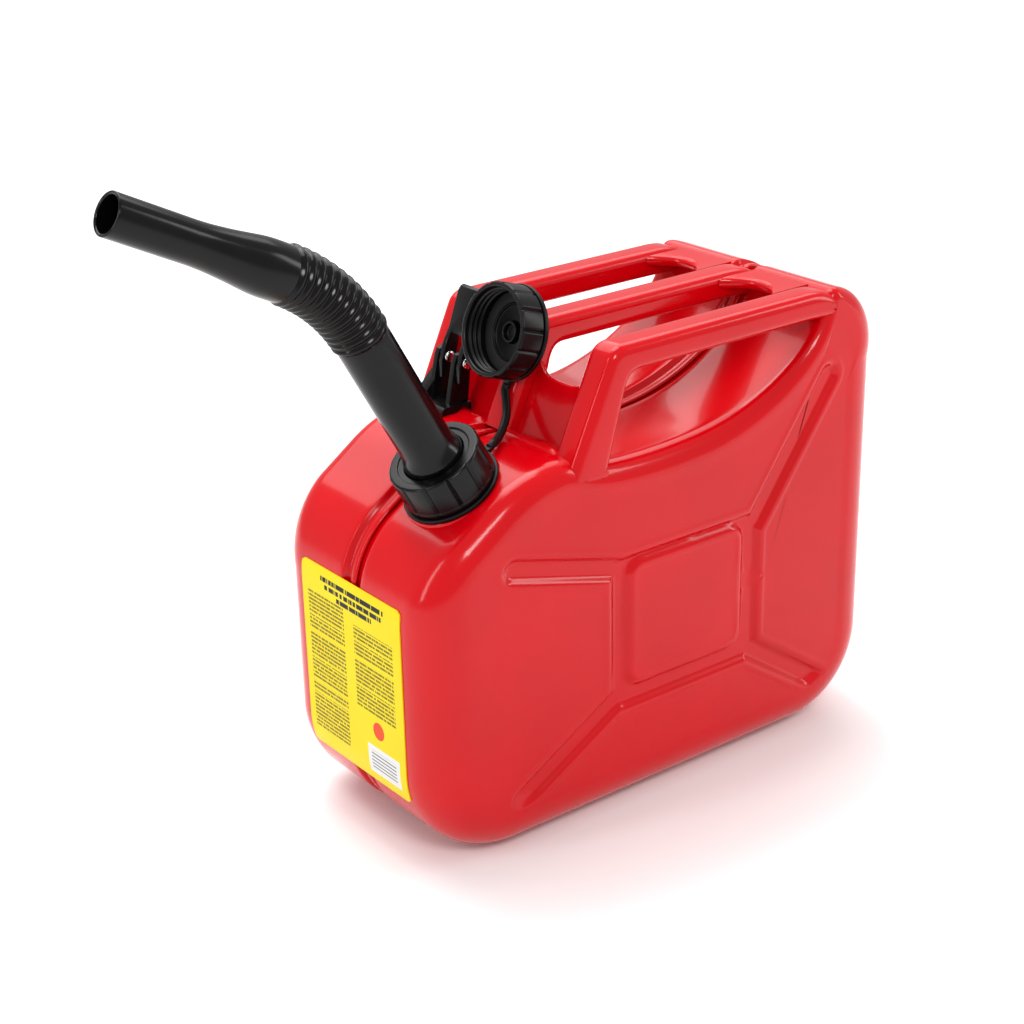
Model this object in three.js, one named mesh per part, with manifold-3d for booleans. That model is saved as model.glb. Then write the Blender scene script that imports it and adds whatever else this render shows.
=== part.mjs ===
// Ten-litre pressed-steel fuel can with three carrying bars and a screw-on pouring spout.
// Millimetres. X runs along the can (spout end at -X), Y across it, Z up; the can stands on Z = 0.
import * as THREE from 'three';
import { mergeVertices } from 'three/addons/utils/BufferGeometryUtils.js';
import Module from 'manifold-3d';

const wasm = await Module();
wasm.setup();

// ---- driving dimensions ----
const LENGTH = 345;
const WIDTH = 154;
const WALL = 1.2;
const GAP = 0.3;
const EDGE_R = 27;            // round between the side panels and the band
const DISH_EDGE_R = 13;       // tighter round along the dish and shoulder
const CORNER_R = 60;          // outline corners
const REAR_TOP_R = 50;
const CREST_R = 7;
const SEAM_HALF = 8.5;        // recessed channel along the weld seam
const SEAM_DEPTH = 3.5;
const EMBOSS_DEPTH = 3;
const EMBOSS_DRAFT = 2.4;

const BAR_WIDTH = 22;
const BAR_R = 6;
const BAR_TOP = 288.7;
const BAR_UNDER = 272;
const BAR_OFFSET = WIDTH / 2 - BAR_WIDTH / 2 - 0.1;
const LEG_LEAN = 24.7;
const WEB_SETBACK = 9;
const WEB_THICK = 4;
const BRIDGE_TOP = 287;
const BRIDGE_THICK = 6.5;

const NECK = [-122, -31, 215.2];
const NECK_TILT = 29;
const NECK_R = 21.5;
const NECK_BORE = 18.6;
const NECK_TOP = 17;
const THREAD_PITCH = 3;
const THREAD_CREST_R = 22.05;
const COLLAR_R = 27;
const COLLAR_BORE = 22.4;
const COLLAR_FROM = 3.6;
const COLLAR_TO = 25;
const SPOUT_R = 15;
const SPOUT_WALL = 1.5;
const SPOUT_STRAIGHT = 112;
const BEND_R = 103;
const OUTER_TILT = 63.2;
const NOZZLE_LENGTH = 102;
const NOZZLE_TIP_R = 11.25;
const BELLOWS_RINGS = 12;

const CAP = [-69.3, 0, 287];
const CAP_LEAN = 72;
const CAP_R = 27.5;
const CAP_DEPTH = 19;

const LATCH_PIN = [-65.4, 258.6];
const LATCH_LEAN = 20;

const rad = THREE.MathUtils.degToRad;
const HALF = LENGTH / 2;

// ---- solids and meshes ----
function flipIfInsideOut(position, index) {
  let volume = 0;
  for (let i = 0; i < index.length; i += 3) {
    const [a, b, c] = [0, 1, 2].map((k) => new THREE.Vector3().fromArray(position, 3 * index[i + k]));
    volume += a.dot(b.cross(c));
  }
  if (volume > 0) return index;
  const flipped = Array.from(index);
  for (let i = 0; i < flipped.length; i += 3) {
    [flipped[i + 1], flipped[i + 2]] = [flipped[i + 2], flipped[i + 1]];
  }
  return flipped;
}

function solid(geometry) {
  const bare = geometry.clone();
  bare.deleteAttribute('normal');
  bare.deleteAttribute('uv');
  const welded = mergeVertices(bare, 1e-4);
  const position = Float32Array.from(welded.attributes.position.array);
  const index = Uint32Array.from(flipIfInsideOut(position, welded.index.array));
  return new wasm.Manifold(new wasm.Mesh({ numProp: 3, vertProperties: position, triVerts: index }));
}

function surface(manifold) {
  const mesh = manifold.getMesh();
  const geometry = new THREE.BufferGeometry();
  geometry.setAttribute('position', new THREE.BufferAttribute(Float32Array.from(mesh.vertProperties), 3));
  geometry.setIndex(Array.from(mesh.triVerts));
  return geometry;
}

// ---- outlines in the XZ plane, walked anticlockwise, each sample with its outward normal ----
function arc(cx, cz, radius, from, to, steps, edgeFrom, edgeTo) {
  const samples = [];
  for (let i = 0; i <= steps; i += 1) {
    const f = i / steps;
    const a = rad(from + (to - from) * f);
    const nx = Math.cos(a);
    const nz = Math.sin(a);
    samples.push({ x: cx + radius * nx, z: cz + radius * nz, nx, nz, edge: edgeFrom + (edgeTo - edgeFrom) * f });
  }
  return samples;
}

function curve(points, steps, edgeFrom, edgeTo, withStart = false) {
  const bezier = new THREE.CubicBezierCurve(...points.map(([x, z]) => new THREE.Vector2(x, z)));
  const samples = [];
  for (let i = withStart ? 0 : 1; i <= steps; i += 1) {
    const f = i / steps;
    const p = bezier.getPoint(f);
    const d = bezier.getTangent(f);
    samples.push({ x: p.x, z: p.y, nx: d.y, nz: -d.x, edge: edgeFrom + (edgeTo - edgeFrom) * f });
  }
  return samples;
}

function canOutline() {
  const corner = HALF - CORNER_R;
  return [
    ...arc(corner, CORNER_R, CORNER_R, -90, 0, 7, EDGE_R, EDGE_R),
    ...arc(HALF - REAR_TOP_R, 238.7, REAR_TOP_R, 0, 80, 7, EDGE_R, 6.5),
    ...arc(129.8, 281.1, CREST_R, 103, 172, 3, 6.5, 6.5),
    ...curve([[122.9, 282.1], [118.7, 252.4], [72, 227], [30, 222.5]], 9, 6.5, DISH_EDGE_R),
    ...curve([[30, 222.5], [0, 219.3], [-42, 219], [-60, 226]], 6, DISH_EDGE_R, DISH_EDGE_R),
    ...curve([[-60, 226], [-67, 228.7], [-74, 230.2], [-80, 229.9]], 3, DISH_EDGE_R, DISH_EDGE_R),
    ...curve([[-80, 229.9], [-96, 229.1], [-110, 224], [-123, 215.2]], 4, DISH_EDGE_R, 15),
    ...arc(-corner, 150, CORNER_R, 124, 180, 5, 16, EDGE_R),
    ...arc(-corner, CORNER_R, CORNER_R, 180, 270, 7, EDGE_R, EDGE_R),
  ];
}

// Joins matching rings of outline samples into one closed body; rings(sample) lists [y, inset] pairs.
function loft(outline, rings) {
  const count = outline.length;
  const rows = rings(outline[0]).length;
  const position = [];
  for (let k = 0; k < rows; k += 1) {
    for (const s of outline) {
      const [y, inset] = rings(s)[k];
      position.push(s.x - s.nx * inset, y, s.z - s.nz * inset);
    }
  }
  const index = [];
  for (let k = 0; k + 1 < rows; k += 1) {
    for (let i = 0; i < count; i += 1) {
      const j = (i + 1) % count;
      const [a, b, c, d] = [k * count + i, k * count + j, (k + 1) * count + j, (k + 1) * count + i];
      index.push(a, c, b, a, d, c);
    }
  }
  for (const [k, turn] of [[0, false], [rows - 1, true]]) {
    const ring = outline.map((s, i) => {
      const at = 3 * (k * count + i);
      return new THREE.Vector2(position[at], position[at + 2]);
    });
    for (const [a, b, c] of THREE.ShapeUtils.triangulateShape(ring, [])) {
      const face = turn ? [c, b, a] : [a, b, c];
      index.push(...face.map((v) => k * count + v));
    }
  }
  const geometry = new THREE.BufferGeometry();
  geometry.setAttribute('position', new THREE.Float32BufferAttribute(position, 3));
  geometry.setIndex(index);
  return solid(geometry);
}

// Rings across the can: rounded edges, flat band, and the recessed seam channel; inward is the wall offset.
function canRings(inward, channel = SEAM_DEPTH) {
  const steps = 5;
  const side = (s) => {
    const radius = s.edge - inward;
    const list = [];
    for (let i = steps; i >= 0; i -= 1) {
      const a = rad((90 * i) / steps);
      list.push([WIDTH / 2 - s.edge + radius * Math.sin(a), inward + radius * (1 - Math.cos(a))]);
    }
    list.push([SEAM_HALF + inward * 0.6, inward]);
    list.push([SEAM_HALF - 2 + inward * 0.6, inward + channel]);
    return list;
  };
  return (s) => {
    const half = side(s);
    return [...half.map(([y, inset]) => [-y, inset]), ...half.reverse()];
  };
}

// Same rounded section all along an outline, for bars and bands.
function barRings(centre, width, radius, steps) {
  return () => {
    const list = [];
    for (let i = steps; i >= 0; i -= 1) {
      const a = rad((90 * i) / steps);
      list.push([width / 2 - radius + radius * Math.sin(a), radius * (1 - Math.cos(a))]);
    }
    return [...list.map(([y, inset]) => [centre - y, inset]), ...list.reverse().map(([y, inset]) => [centre + y, inset])];
  };
}

// ---- plain builders ----
function plate(points, y0, y1) {
  const shape = points instanceof THREE.Shape ? points : new THREE.Shape(points.map(([x, z]) => new THREE.Vector2(x, z)));
  const geometry = new THREE.ExtrudeGeometry(shape, { depth: y1 - y0, bevelEnabled: false, curveSegments: 6 });
  return solid(geometry.rotateX(Math.PI / 2).translate(0, y1, 0));
}

function turned(profile, segments) {
  const points = profile.map(([r, z]) => new THREE.Vector2(r, z));
  return solid(new THREE.LatheGeometry(points, segments).rotateX(Math.PI / 2));
}

function ring(inner, outer, from, to, segments) {
  return turned([[inner, from], [outer, from], [outer, to], [inner, to], [inner, from]], segments);
}

function rod(radius, from, to, segments) {
  return turned([[0, from], [radius, from], [radius, to], [0, to]], segments);
}

function placed(manifold, tilt, origin) {
  return manifold.rotate([0, -tilt, 0]).translate(origin);
}

function onNeck(manifold) {
  return placed(manifold, NECK_TILT, NECK);
}

function alongY(manifold, x, z) {
  return manifold.rotate([-90, 0, 0]).translate([x, 0, z]);
}

// Hand-grip outline: flats parted by narrow grooves.
function gripShape(radius, flats, groove, first) {
  const shape = new THREE.Shape();
  const pitch = 360 / flats;
  for (let i = 0; i < flats; i += 1) {
    const at = first + i * pitch;
    for (const [angle, r] of [[-1.1, radius - groove], [1.1, radius - groove], [3.2, radius], [pitch - 3.2, radius]]) {
      const x = r * Math.cos(rad(at + angle));
      const y = r * Math.sin(rad(at + angle));
      if (i === 0 && angle === -1.1) shape.moveTo(x, y);
      else shape.lineTo(x, y);
    }
  }
  shape.closePath();
  return shape;
}

function grip(radius, flats, groove, first, from, to, chamfer) {
  const geometry = new THREE.ExtrudeGeometry(gripShape(radius - chamfer, flats, groove, first), {
    depth: to - from - 2 * chamfer,
    bevelThickness: chamfer,
    bevelSize: chamfer,
    bevelSegments: 1,
  });
  return solid(geometry.translate(0, 0, from + chamfer));
}

// ---- the tank ----
function embossShape() {
  const floor = EMBOSS_DRAFT;
  const box = (shape, x0, z0, x1, z1, r) => {
    shape.moveTo(x0 + r, z0);
    shape.lineTo(x1 - r, z0);
    shape.absarc(x1 - r, z0 + r, r, rad(-90), 0, false);
    shape.absarc(x1 - r, z1 - r, r, 0, rad(90), false);
    shape.absarc(x0 + r, z1 - r, r, rad(90), rad(180), false);
    shape.absarc(x0 + r, z0 + r, r, rad(180), rad(270), false);
    return shape;
  };
  const frame = box(new THREE.Shape(), -46.7 + floor, 66.3 + floor, 70.7 - floor, 164.4 - floor, 6);
  frame.holes.push(box(new THREE.Path(), -31.4 - floor, 81.2 - floor, 54.5 + floor, 157.8 + floor, 8));
  return frame;
}

function armShape([x0, z0], [x1, z1]) {
  const r = 8 - EMBOSS_DRAFT;
  const along = Math.atan2(z1 - z0, x1 - x0);
  const shape = new THREE.Shape();
  shape.absarc(x1, z1, r, along - Math.PI / 2, along + Math.PI / 2, false);
  shape.absarc(x0, z0, r, along + Math.PI / 2, along + Math.PI * 1.5, false);
  return shape;
}

function embossCutter(side, grow) {
  const shapes = [
    embossShape(),
    armShape([-43, 158], [-115, 178]),
    armShape([-43, 74], [-113, 34]),
    armShape([66, 72], [127, 30]),
    armShape([66, 157], [124, 236]),
  ];
  const parts = shapes.map((shape) => {
    const geometry = new THREE.ExtrudeGeometry(shape, {
      depth: 3,
      bevelThickness: EMBOSS_DEPTH + grow,
      bevelSize: EMBOSS_DRAFT,
      bevelOffset: grow,
      bevelSegments: 1,
      curveSegments: 4,
    });
    return solid(geometry.rotateX(Math.PI / 2).translate(0, -WIDTH / 2, 0));
  });
  const cutter = wasm.Manifold.union(parts);
  return side < 0 ? cutter : cutter.mirror([0, 1, 0]);
}

function ridge(side, grow) {
  const rib = rod(6 + grow, SEAM_HALF - grow, 57 + grow, 16);
  return alongY(rib, -68, 226).scale([1, side, 1]);
}

function canBlank(grow, channel = SEAM_DEPTH) {
  return loft(canOutline(), canRings(-grow, channel)).add(ridge(1, grow)).add(ridge(-1, grow));
}

function canShell() {
  const boss = onNeck(turned([[0, -9], [30.5, -9], [28.6, -0.05], [0, -0.05]], 32)).trimByPlane([0, -1, 0], SEAM_HALF);
  const cavity = loft(canOutline(), canRings(WALL)).subtract(embossCutter(-1, WALL)).subtract(embossCutter(1, WALL));
  const flat = onNeck(rod(30.6, -0.05, 12, 32));
  const hole = onNeck(rod(NECK_R + GAP, -20, 12, 32));
  return canBlank(0).add(boss).subtract(flat).subtract(cavity).subtract(embossCutter(-1, 0)).subtract(embossCutter(1, 0)).subtract(hole);
}

// Weld bead standing in the channel, a closed loop round the whole outline.
function seamBead() {
  const band = (inset, half) => loft(canOutline(), () => [[-half, inset], [half, inset]]);
  const outer = loft(canOutline(), () => [[-2.6, 1.8], [-1.5, 0.7], [1.5, 0.7], [2.6, 1.8]]);
  return outer.subtract(band(SEAM_DEPTH - GAP, 6));
}

// ---- carrying bars and the webs between their legs ----
function barOutline() {
  const lean = rad(LEG_LEAN);
  const centreX = -35.3;
  return [
    ...curve([[-63, 213], [-58, 213], [-52, 213], [-48, 213.2]], 1, 0, 0, true),
    ...curve([[-46.5, 219], [-42, 235], [-36, 255], [-33.5, 264]], 3, 0, 0, true),
    ...curve([[-33.5, 264], [-31.5, 270], [-29, BAR_UNDER], [-23, BAR_UNDER]], 3, 0, 0),
    ...curve([[104, BAR_UNDER], [112, BAR_UNDER], [122, 271], [136, 270]], 2, 0, 0, true),
    ...curve([[130, 283], [124, 287.5], [118, BAR_TOP], [108, BAR_TOP]], 3, 0, 0, true),
    ...arc(centreX, BAR_TOP - 12, 12, 90, 180 - LEG_LEAN, 4, 0, 0),
    { x: -61.8 - 28 * Math.tan(lean), z: 219.8, nx: -Math.cos(lean), nz: Math.sin(lean), edge: 0 },
  ];
}

function bar(centre, bodyWithGap) {
  return loft(barOutline(), barRings(centre, BAR_WIDTH, BAR_R, 3)).subtract(bodyWithGap);
}

// Saddle-topped plate closing the space between two legs, leaning with them.
function web(side, bodyWithGap) {
  const from = BAR_WIDTH / 2 + GAP;
  const to = BAR_OFFSET - BAR_WIDTH / 2 - GAP;
  const middle = (from + to) / 2;
  const shape = new THREE.Shape();
  shape.moveTo(from, -32);
  shape.lineTo(to, -32);
  shape.lineTo(to, 24);
  shape.bezierCurveTo(to - 4, 19, middle + 12, 17, middle, 17);
  shape.bezierCurveTo(middle - 12, 17, from + 4, 19, from, 24);
  const geometry = new THREE.ExtrudeGeometry(shape, { depth: WEB_THICK, bevelEnabled: false, curveSegments: 6 });
  const upright = geometry.rotateX(Math.PI / 2).rotateZ(Math.PI / 2);
  const leaned = upright.translate(WEB_SETBACK, 0, 0).rotateY(rad(LEG_LEAN));
  return solid(leaned).scale([1, side, 1]).translate([-61.8, 0, 247.8]).subtract(bodyWithGap);
}

// Plate joining two bars where they run into the rear crest, with a rounded end to the finger gap.
function bridge(side, bodyWithGap) {
  const from = BAR_WIDTH / 2 + GAP;
  const to = BAR_OFFSET - BAR_WIDTH / 2 - GAP;
  const middle = (from + to) / 2;
  const shape = new THREE.Shape();
  shape.moveTo(128, from);
  shape.lineTo(128, to);
  shape.lineTo(94, to);
  shape.bezierCurveTo(101, to - 4, 108, middle + 12, 108, middle);
  shape.bezierCurveTo(108, middle - 12, 101, from + 4, 94, from);
  const geometry = new THREE.ExtrudeGeometry(shape, { depth: BRIDGE_THICK, bevelEnabled: false, curveSegments: 6 });
  return solid(geometry.translate(0, 0, BRIDGE_TOP - BRIDGE_THICK)).scale([1, side, 1]).subtract(bodyWithGap);
}

// ---- filler neck, collar and spout ----
function neckThread() {
  const perTurn = 16;
  const turns = 3.4;
  const section = [[20, -1.1], [THREAD_CREST_R, -0.4], [THREAD_CREST_R, 0.4], [20, 1.1]];
  const steps = Math.round(perTurn * turns);
  const position = [];
  const index = [];
  for (let i = 0; i <= steps; i += 1) {
    const a = (i / perTurn) * 2 * Math.PI;
    const rise = 4.9 + (i / perTurn) * THREAD_PITCH;
    for (const [r, dz] of section) position.push(r * Math.cos(a), r * Math.sin(a), rise + dz);
  }
  for (let i = 0; i < steps; i += 1) {
    for (let k = 0; k < 4; k += 1) {
      const [a, b] = [4 * i + k, 4 * i + ((k + 1) % 4)];
      index.push(a, b, b + 4, a, b + 4, a + 4);
    }
  }
  const last = 4 * steps;
  index.push(0, 2, 1, 0, 3, 2, last, last + 1, last + 2, last, last + 2, last + 3);
  const geometry = new THREE.BufferGeometry();
  geometry.setAttribute('position', new THREE.Float32BufferAttribute(position, 3));
  geometry.setIndex(index);
  return solid(geometry);
}

function fillerNeck() {
  const tube = turned([
    [NECK_BORE, -10], [NECK_R, -10], [NECK_R, 3.2], [20.6, 4], [20.6, NECK_TOP - 0.6],
    [20, NECK_TOP], [NECK_BORE, NECK_TOP], [NECK_BORE, -10],
  ], 32);
  return onNeck(tube.add(neckThread()));
}

function breatherTube() {
  const at = (x, t) => {
    const tilt = rad(NECK_TILT);
    return [NECK[0] + x * Math.cos(tilt) - t * Math.sin(tilt), NECK[2] + x * Math.sin(tilt) + t * Math.cos(tilt)];
  };
  const path = new THREE.CatmullRomCurve3(
    [at(15.6, 12), at(15.6, 0), at(15.6, -12), [-84, 205], [-40, 203], [60, 206], [112, 230], [138, 262]]
      .map(([x, z]) => new THREE.Vector3(x, NECK[1], z)),
  );
  const shape = new THREE.Shape().absarc(0, 0, 2.2, 0, 2 * Math.PI, false);
  shape.holes.push(new THREE.Path().absarc(0, 0, 1.4, 0, 2 * Math.PI, true));
  return new THREE.ExtrudeGeometry(shape, { extrudePath: path, steps: 24, curveSegments: 4, bevelEnabled: false });
}

function collarNut() {
  const body = grip(COLLAR_R, 12, 1.3, 8, COLLAR_FROM, COLLAR_TO, 1);
  const bore = turned([
    [0, COLLAR_FROM - 1], [COLLAR_BORE, COLLAR_FROM - 1], [COLLAR_BORE, 22.9], [18, 22.9], [18, COLLAR_TO + 1], [0, COLLAR_TO + 1],
  ], 36);
  return onNeck(body.subtract(bore));
}

function spoutTube() {
  const bore = SPOUT_R - SPOUT_WALL;
  return onNeck(turned([
    [bore, 19.6], [21.3, 19.6], [21.3, 22.6], [17.5, 22.6], [17.2, 26], [SPOUT_R + 0.4, 32], [SPOUT_R, 40],
    [SPOUT_R, SPOUT_STRAIGHT - GAP], [bore, SPOUT_STRAIGHT - GAP], [bore, 19.6],
  ], 28));
}

function strainer() {
  const cup = turned([
    [0, -18], [13, -18], [13, 18.2], [17, 18.2], [17, 19.3], [12.2, 19.3], [12.2, -17.2], [0, -17.2],
  ], 20);
  const slots = [];
  for (let i = 0; i < 8; i += 1) {
    for (const z of [-12, 3]) {
      slots.push(solid(new THREE.BoxGeometry(6, 4, 12).translate(13, 0, z + 5)).rotate([0, 0, 45 * i]));
    }
  }
  return onNeck(cup.subtract(wasm.Manifold.union(slots)));
}

// Tube swept round a bend in the XZ plane, both skins given as radius lists along it.
function sweptTube(outer, inner, around) {
  const tiltFrom = rad(NECK_TILT);
  const sweep = rad(OUTER_TILT - NECK_TILT);
  const start = new THREE.Vector3(...NECK).addScaledVector(
    new THREE.Vector3(-Math.sin(tiltFrom), 0, Math.cos(tiltFrom)), SPOUT_STRAIGHT,
  );
  const position = [];
  const ringsOf = (radii) => radii.map(([f, r]) => {
    const tilt = tiltFrom + sweep * f;
    const cx = start.x + BEND_R * (Math.cos(tilt) - Math.cos(tiltFrom));
    const cz = start.z + BEND_R * (Math.sin(tilt) - Math.sin(tiltFrom));
    const first = position.length / 3;
    for (let i = 0; i < around; i += 1) {
      const a = (2 * Math.PI * i) / around;
      const side = r * Math.cos(a);
      position.push(cx + side * Math.cos(tilt), start.y + r * Math.sin(a), cz + side * Math.sin(tilt));
    }
    return first;
  });
  const rings = [...ringsOf(outer), ...ringsOf(inner).reverse()];
  const index = [];
  rings.forEach((a, k) => {
    const b = rings[(k + 1) % rings.length];
    for (let i = 0; i < around; i += 1) {
      const j = (i + 1) % around;
      index.push(a + i, a + j, b + j, a + i, b + j, b + i);
    }
  });
  const geometry = new THREE.BufferGeometry();
  geometry.setAttribute('position', new THREE.Float32BufferAttribute(position, 3));
  geometry.setIndex(index);
  return solid(geometry);
}

function bellows() {
  const outer = [];
  const inner = [];
  const count = BELLOWS_RINGS * 2;
  for (let i = 0; i <= count; i += 1) {
    const f = i / count;
    outer.push([f, i % 2 ? 16.4 : 14.9]);
    if (i % 3 === 0) inner.push([f, 13.4]);
  }
  return sweptTube(outer, inner, 20);
}

function bendEnd() {
  const from = rad(NECK_TILT);
  const to = rad(OUTER_TILT);
  const x = NECK[0] - SPOUT_STRAIGHT * Math.sin(from) + BEND_R * (Math.cos(to) - Math.cos(from));
  const z = NECK[2] + SPOUT_STRAIGHT * Math.cos(from) + BEND_R * (Math.sin(to) - Math.sin(from));
  return [x, NECK[1], z];
}

function nozzle() {
  const tip = NOZZLE_TIP_R;
  return placed(turned([
    [13.4, GAP], [15.3, GAP], [15.3, 14], [12.6, 34], [tip, 50], [tip, NOZZLE_LENGTH - 1], [tip - 0.8, NOZZLE_LENGTH],
    [tip - 1.9, NOZZLE_LENGTH - 0.6], [tip - 1.9, 50], [10.9, 34], [13.4, 14], [13.4, GAP],
  ], 26), OUTER_TILT, bendEnd());
}

function tetherRing() {
  const washer = ring(22, 28.5, GAP, 2.7, 32);
  const tab = solid(new THREE.BoxGeometry(7, 6, 2.4).translate(29.5, 0.5, 1.5));
  return onNeck(washer.add(tab));
}

// ---- cap, hung from the neck by a moulded strap ----
function onCap(manifold) {
  return placed(manifold, CAP_LEAN, CAP);
}

function capShell() {
  const body = grip(CAP_R, 14, 1.4, 0, -15.8, 0, 0.8).add(turned([[0, -CAP_DEPTH], [24.4, -CAP_DEPTH], [25.4, -18], [25.4, -10], [0, -10]], 28));
  const bore = turned([[0, -12.6], [6, -12.6], [6, -16.6], [24, -16.6], [24, -3], [24.6, 1], [0, 1]], 28);
  return onCap(body.subtract(bore));
}

function capLoop() {
  const hoop = ring(25.8, 27.9, -18.7, -16.2, 28);
  const lug = solid(new THREE.BoxGeometry(3.6, 5, 2.5).translate(-29, -3.5, -17.45));
  return onCap(hoop.add(lug));
}

function capStrap() {
  const route = [[-63.6, -4, 250.9], [-66.3, -8.2, 246.4], [-70.6, -14, 240.6], [-78, -20, 235.6], [-86, -26, 233.4], [-92, -30, 233.4]];
  const path = new THREE.CatmullRomCurve3(route.map((p) => new THREE.Vector3(...p)));
  const shape = new THREE.Shape().absarc(0, 0, 2.1, 0, 2 * Math.PI, false);
  return new THREE.ExtrudeGeometry(shape, { extrudePath: path, steps: 14, curveSegments: 5, bevelEnabled: false });
}

// ---- keeper latch on the ridge in front of the far leg ----
function onLatch(points) {
  const lean = rad(LATCH_LEAN);
  return points.map(([u, v]) => [
    LATCH_PIN[0] + u * Math.cos(lean) + v * Math.sin(lean),
    LATCH_PIN[1] - u * Math.sin(lean) + v * Math.cos(lean),
  ]);
}

function pinHole(y0, y1, radius) {
  return alongY(rod(radius, y0, y1, 16), ...LATCH_PIN);
}

function latchArm() {
  const prong = onLatch([[-1.5, -13], [4.2, -4], [4.6, 3], [4.2, 9], [2.8, 17], [-2.8, 17], [-4.2, 9], [-4.6, 3], [-4.2, -4]]);
  const blade = onLatch([[2.8, 14], [2.8, 39], [2, 41.6], [0, 43], [-2, 41.6], [-2.8, 39], [-2.8, 14]]);
  const arm = wasm.Manifold.union([plate(prong, 29.8, 33.7), plate(prong, 47, 50.7), plate(blade, 29.8, 50.7)]);
  return arm.subtract(pinHole(20, 60, 2.5));
}

function latchBracket(bodyWithGap) {
  const cheek = [[-77, 230], [-62.8, 230], [-60.2, 250], [-60.2, 259], [-61.8, 263], [-65.4, 264.4], [-69, 263], [-70.8, 259]];
  const floor = [[-84, 224], [-62.8, 224], [-62.8, 234.6], [-82, 234.6], [-84, 233]];
  const foot = [[-84, 224], [-72.5, 224], [-72.5, 234.6], [-82, 234.6], [-84, 233]];
  const wedge = [[-84, 228], [-72.5, 228], [-60.6, 254], [-63.4, 255.4], [-84, 235]];
  const parts = [
    plate(cheek, 34, 37.5),
    plate(cheek, 51, 54.5),
    plate(floor, 30, 54.5),
    plate(foot, 50, 59.5),
    plate(wedge, 51.2, 59.5),
  ];
  return wasm.Manifold.union(parts).subtract(pinHole(20, 60, 2.5)).subtract(bodyWithGap);
}

function latchPin(headFrom, to) {
  const profile = [[0, headFrom], [2.6, headFrom], [3.4, headFrom + 0.7], [3.4, headFrom + 1.6], [2.1, headFrom + 1.6], [2.1, to], [0, to]];
  return alongY(turned(profile, 16), ...LATCH_PIN);
}

// ---- label wrapped on the spout-end face ----
function label() {
  const low = 41.7;
  const high = 161.2;
  const a0 = THREE.MathUtils.radToDeg(Math.asin((CORNER_R - low) / CORNER_R));
  const a1 = THREE.MathUtils.radToDeg(Math.asin((high - 150) / CORNER_R));
  const corner = -(HALF - CORNER_R);
  const face = [...arc(corner, 150, CORNER_R, 180 - a1, 180, 3, 0, 0), ...arc(corner, CORNER_R, CORNER_R, 180, 180 + a0, 3, 0, 0)];
  const skin = [
    ...face.map((s) => [s.x - s.nx * -0.8, s.z - s.nz * -0.8]),
    ...face.reverse().map((s) => [s.x - s.nx * -0.3, s.z - s.nz * -0.3]),
  ];
  const corners = new THREE.Shape();
  const [y, r] = [49.1, 3];
  corners.moveTo(-y + r, low);
  corners.lineTo(y - r, low);
  corners.absarc(y - r, low + r, r, rad(-90), 0, false);
  corners.absarc(y - r, high - r, r, 0, rad(90), false);
  corners.absarc(-y + r, high - r, r, rad(90), rad(180), false);
  corners.absarc(-y + r, low + r, r, rad(180), rad(270), false);
  const stamp = solid(new THREE.ExtrudeGeometry(corners, { depth: 20, bevelEnabled: false, curveSegments: 3 })
    .rotateX(Math.PI / 2).rotateZ(Math.PI / 2).translate(-HALF - 10, 0, 0));
  return plate(skin, -55, 55).intersect(stamp);
}

// ---- assembly ----
const PAINT = { color: 0xc8141c, roughness: 0.25, metalness: 0.1 };
const BLACK = { color: 0x141416, roughness: 0.35, metalness: 0 };
const RUBBER = { color: 0x1c1c1c, roughness: 0.8, metalness: 0 };
const STEEL = { color: 0xb8babd, roughness: 0.3, metalness: 1 };
const PRINT = { color: 0xf6ea14, roughness: 0.5, metalness: 0 };

const group = new THREE.Group();
group.name = 'fuel_can';

function add(name, made, look) {
  const geometry = made instanceof THREE.BufferGeometry ? surface(solid(made)) : surface(made);
  geometry.computeVertexNormals();
  const mesh = new THREE.Mesh(geometry, new THREE.MeshStandardMaterial(look));
  mesh.name = name;
  group.add(mesh);
}

const shell = canShell();
const keepOut = canBlank(GAP, 0);
add('shell_near', shell.trimByPlane([0, -1, 0], GAP), PAINT);
add('shell_far', shell.trimByPlane([0, 1, 0], GAP), PAINT);
add('seam_weld', seamBead(), PAINT);
add('handle_bar_near', bar(-BAR_OFFSET, keepOut), PAINT);
add('handle_bar_middle', bar(0, keepOut), PAINT);
add('handle_bar_far', bar(BAR_OFFSET, keepOut), PAINT);
add('handle_web_near', web(-1, keepOut), PAINT);
add('handle_web_far', web(1, keepOut), PAINT);
add('handle_bridge_near', bridge(-1, keepOut), PAINT);
add('handle_bridge_far', bridge(1, keepOut), PAINT);
add('label', label(), PRINT);
add('filler_neck', fillerNeck(), PAINT);
add('breather_tube', breatherTube(), STEEL);
add('tether_ring', tetherRing(), BLACK);
add('spout_gasket', onNeck(ring(17.6, 21.3, NECK_TOP + GAP, 19.3, 28)), RUBBER);
add('collar_nut', collarNut(), BLACK);
add('spout_tube', spoutTube(), BLACK);
add('strainer_screen', strainer(), STEEL);
add('spout_bellows', bellows(), BLACK);
add('spout_nozzle', nozzle(), BLACK);
add('cap_shell', capShell(), BLACK);
add('cap_gasket', onCap(ring(17, 23.7, -16.3, -14.8, 28)), RUBBER);
add('cap_loop', capLoop(), BLACK);
add('cap_strap', capStrap(), BLACK);
add('latch_bracket', latchBracket(keepOut), BLACK);
add('latch_arm', latchArm(), BLACK);
add('latch_pin_near', latchPin(27.9, 37.2), STEEL);
add('latch_pin_far', latchPin(45.1, 54.2), STEEL);

// The origin stands under the middle of the whole box.
const whole = new THREE.Box3().setFromObject(group);
const middle = (whole.min.x + whole.max.x) / 2;
for (const mesh of group.children) mesh.geometry.translate(-middle, 0, 0);

export default group;
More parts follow.
